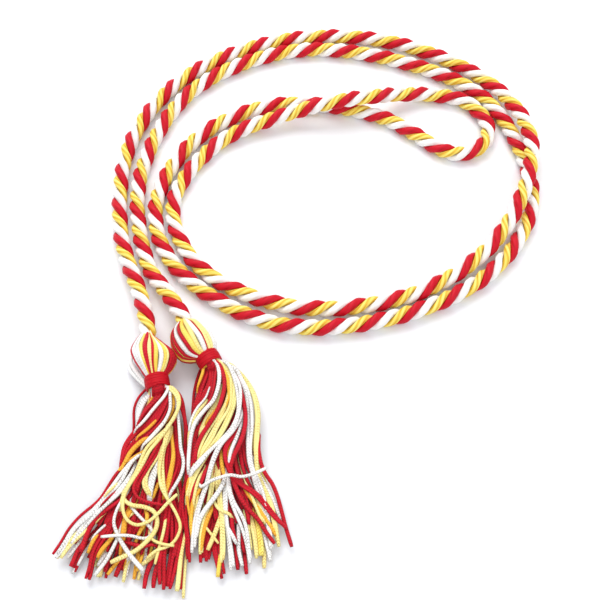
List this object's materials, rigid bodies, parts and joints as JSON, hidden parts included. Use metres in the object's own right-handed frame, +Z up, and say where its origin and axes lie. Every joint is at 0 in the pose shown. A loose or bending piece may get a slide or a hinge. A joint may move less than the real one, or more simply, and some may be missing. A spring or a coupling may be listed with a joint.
{
  "type": "honor cord",
  "caption": "Graduation honor cord: twisted rope of crimson, gold and white, folded double and laid in a loose coil, with a banded tassel on each end.",
  "frame": {"origin": "the middle of the two tassels' box, on the surface that the cord lies on", "axes": "+Z up off that surface, -Y the way the tassels point, +X to the right as the picture shows it"},
  "size_m": [0.1915, 0.2611, 0.0158],
  "materials": {
    "rope_cord": "satin rayon, three twisted strands",
    "head_cord": "satin rayon cords",
    "band_thread": "wound satin thread",
    "skirt_cord": "soft knitted cords"
  },
  "bodies": {
    "root": {"rope": "rope_cord", "left_tassel_head": "head_cord", "left_tassel_band": "band_thread", "left_tassel_skirt": "skirt_cord", "right_tassel_head": "head_cord", "right_tassel_band": "band_thread", "right_tassel_skirt": "skirt_cord"}
  },
  "joints": []
}
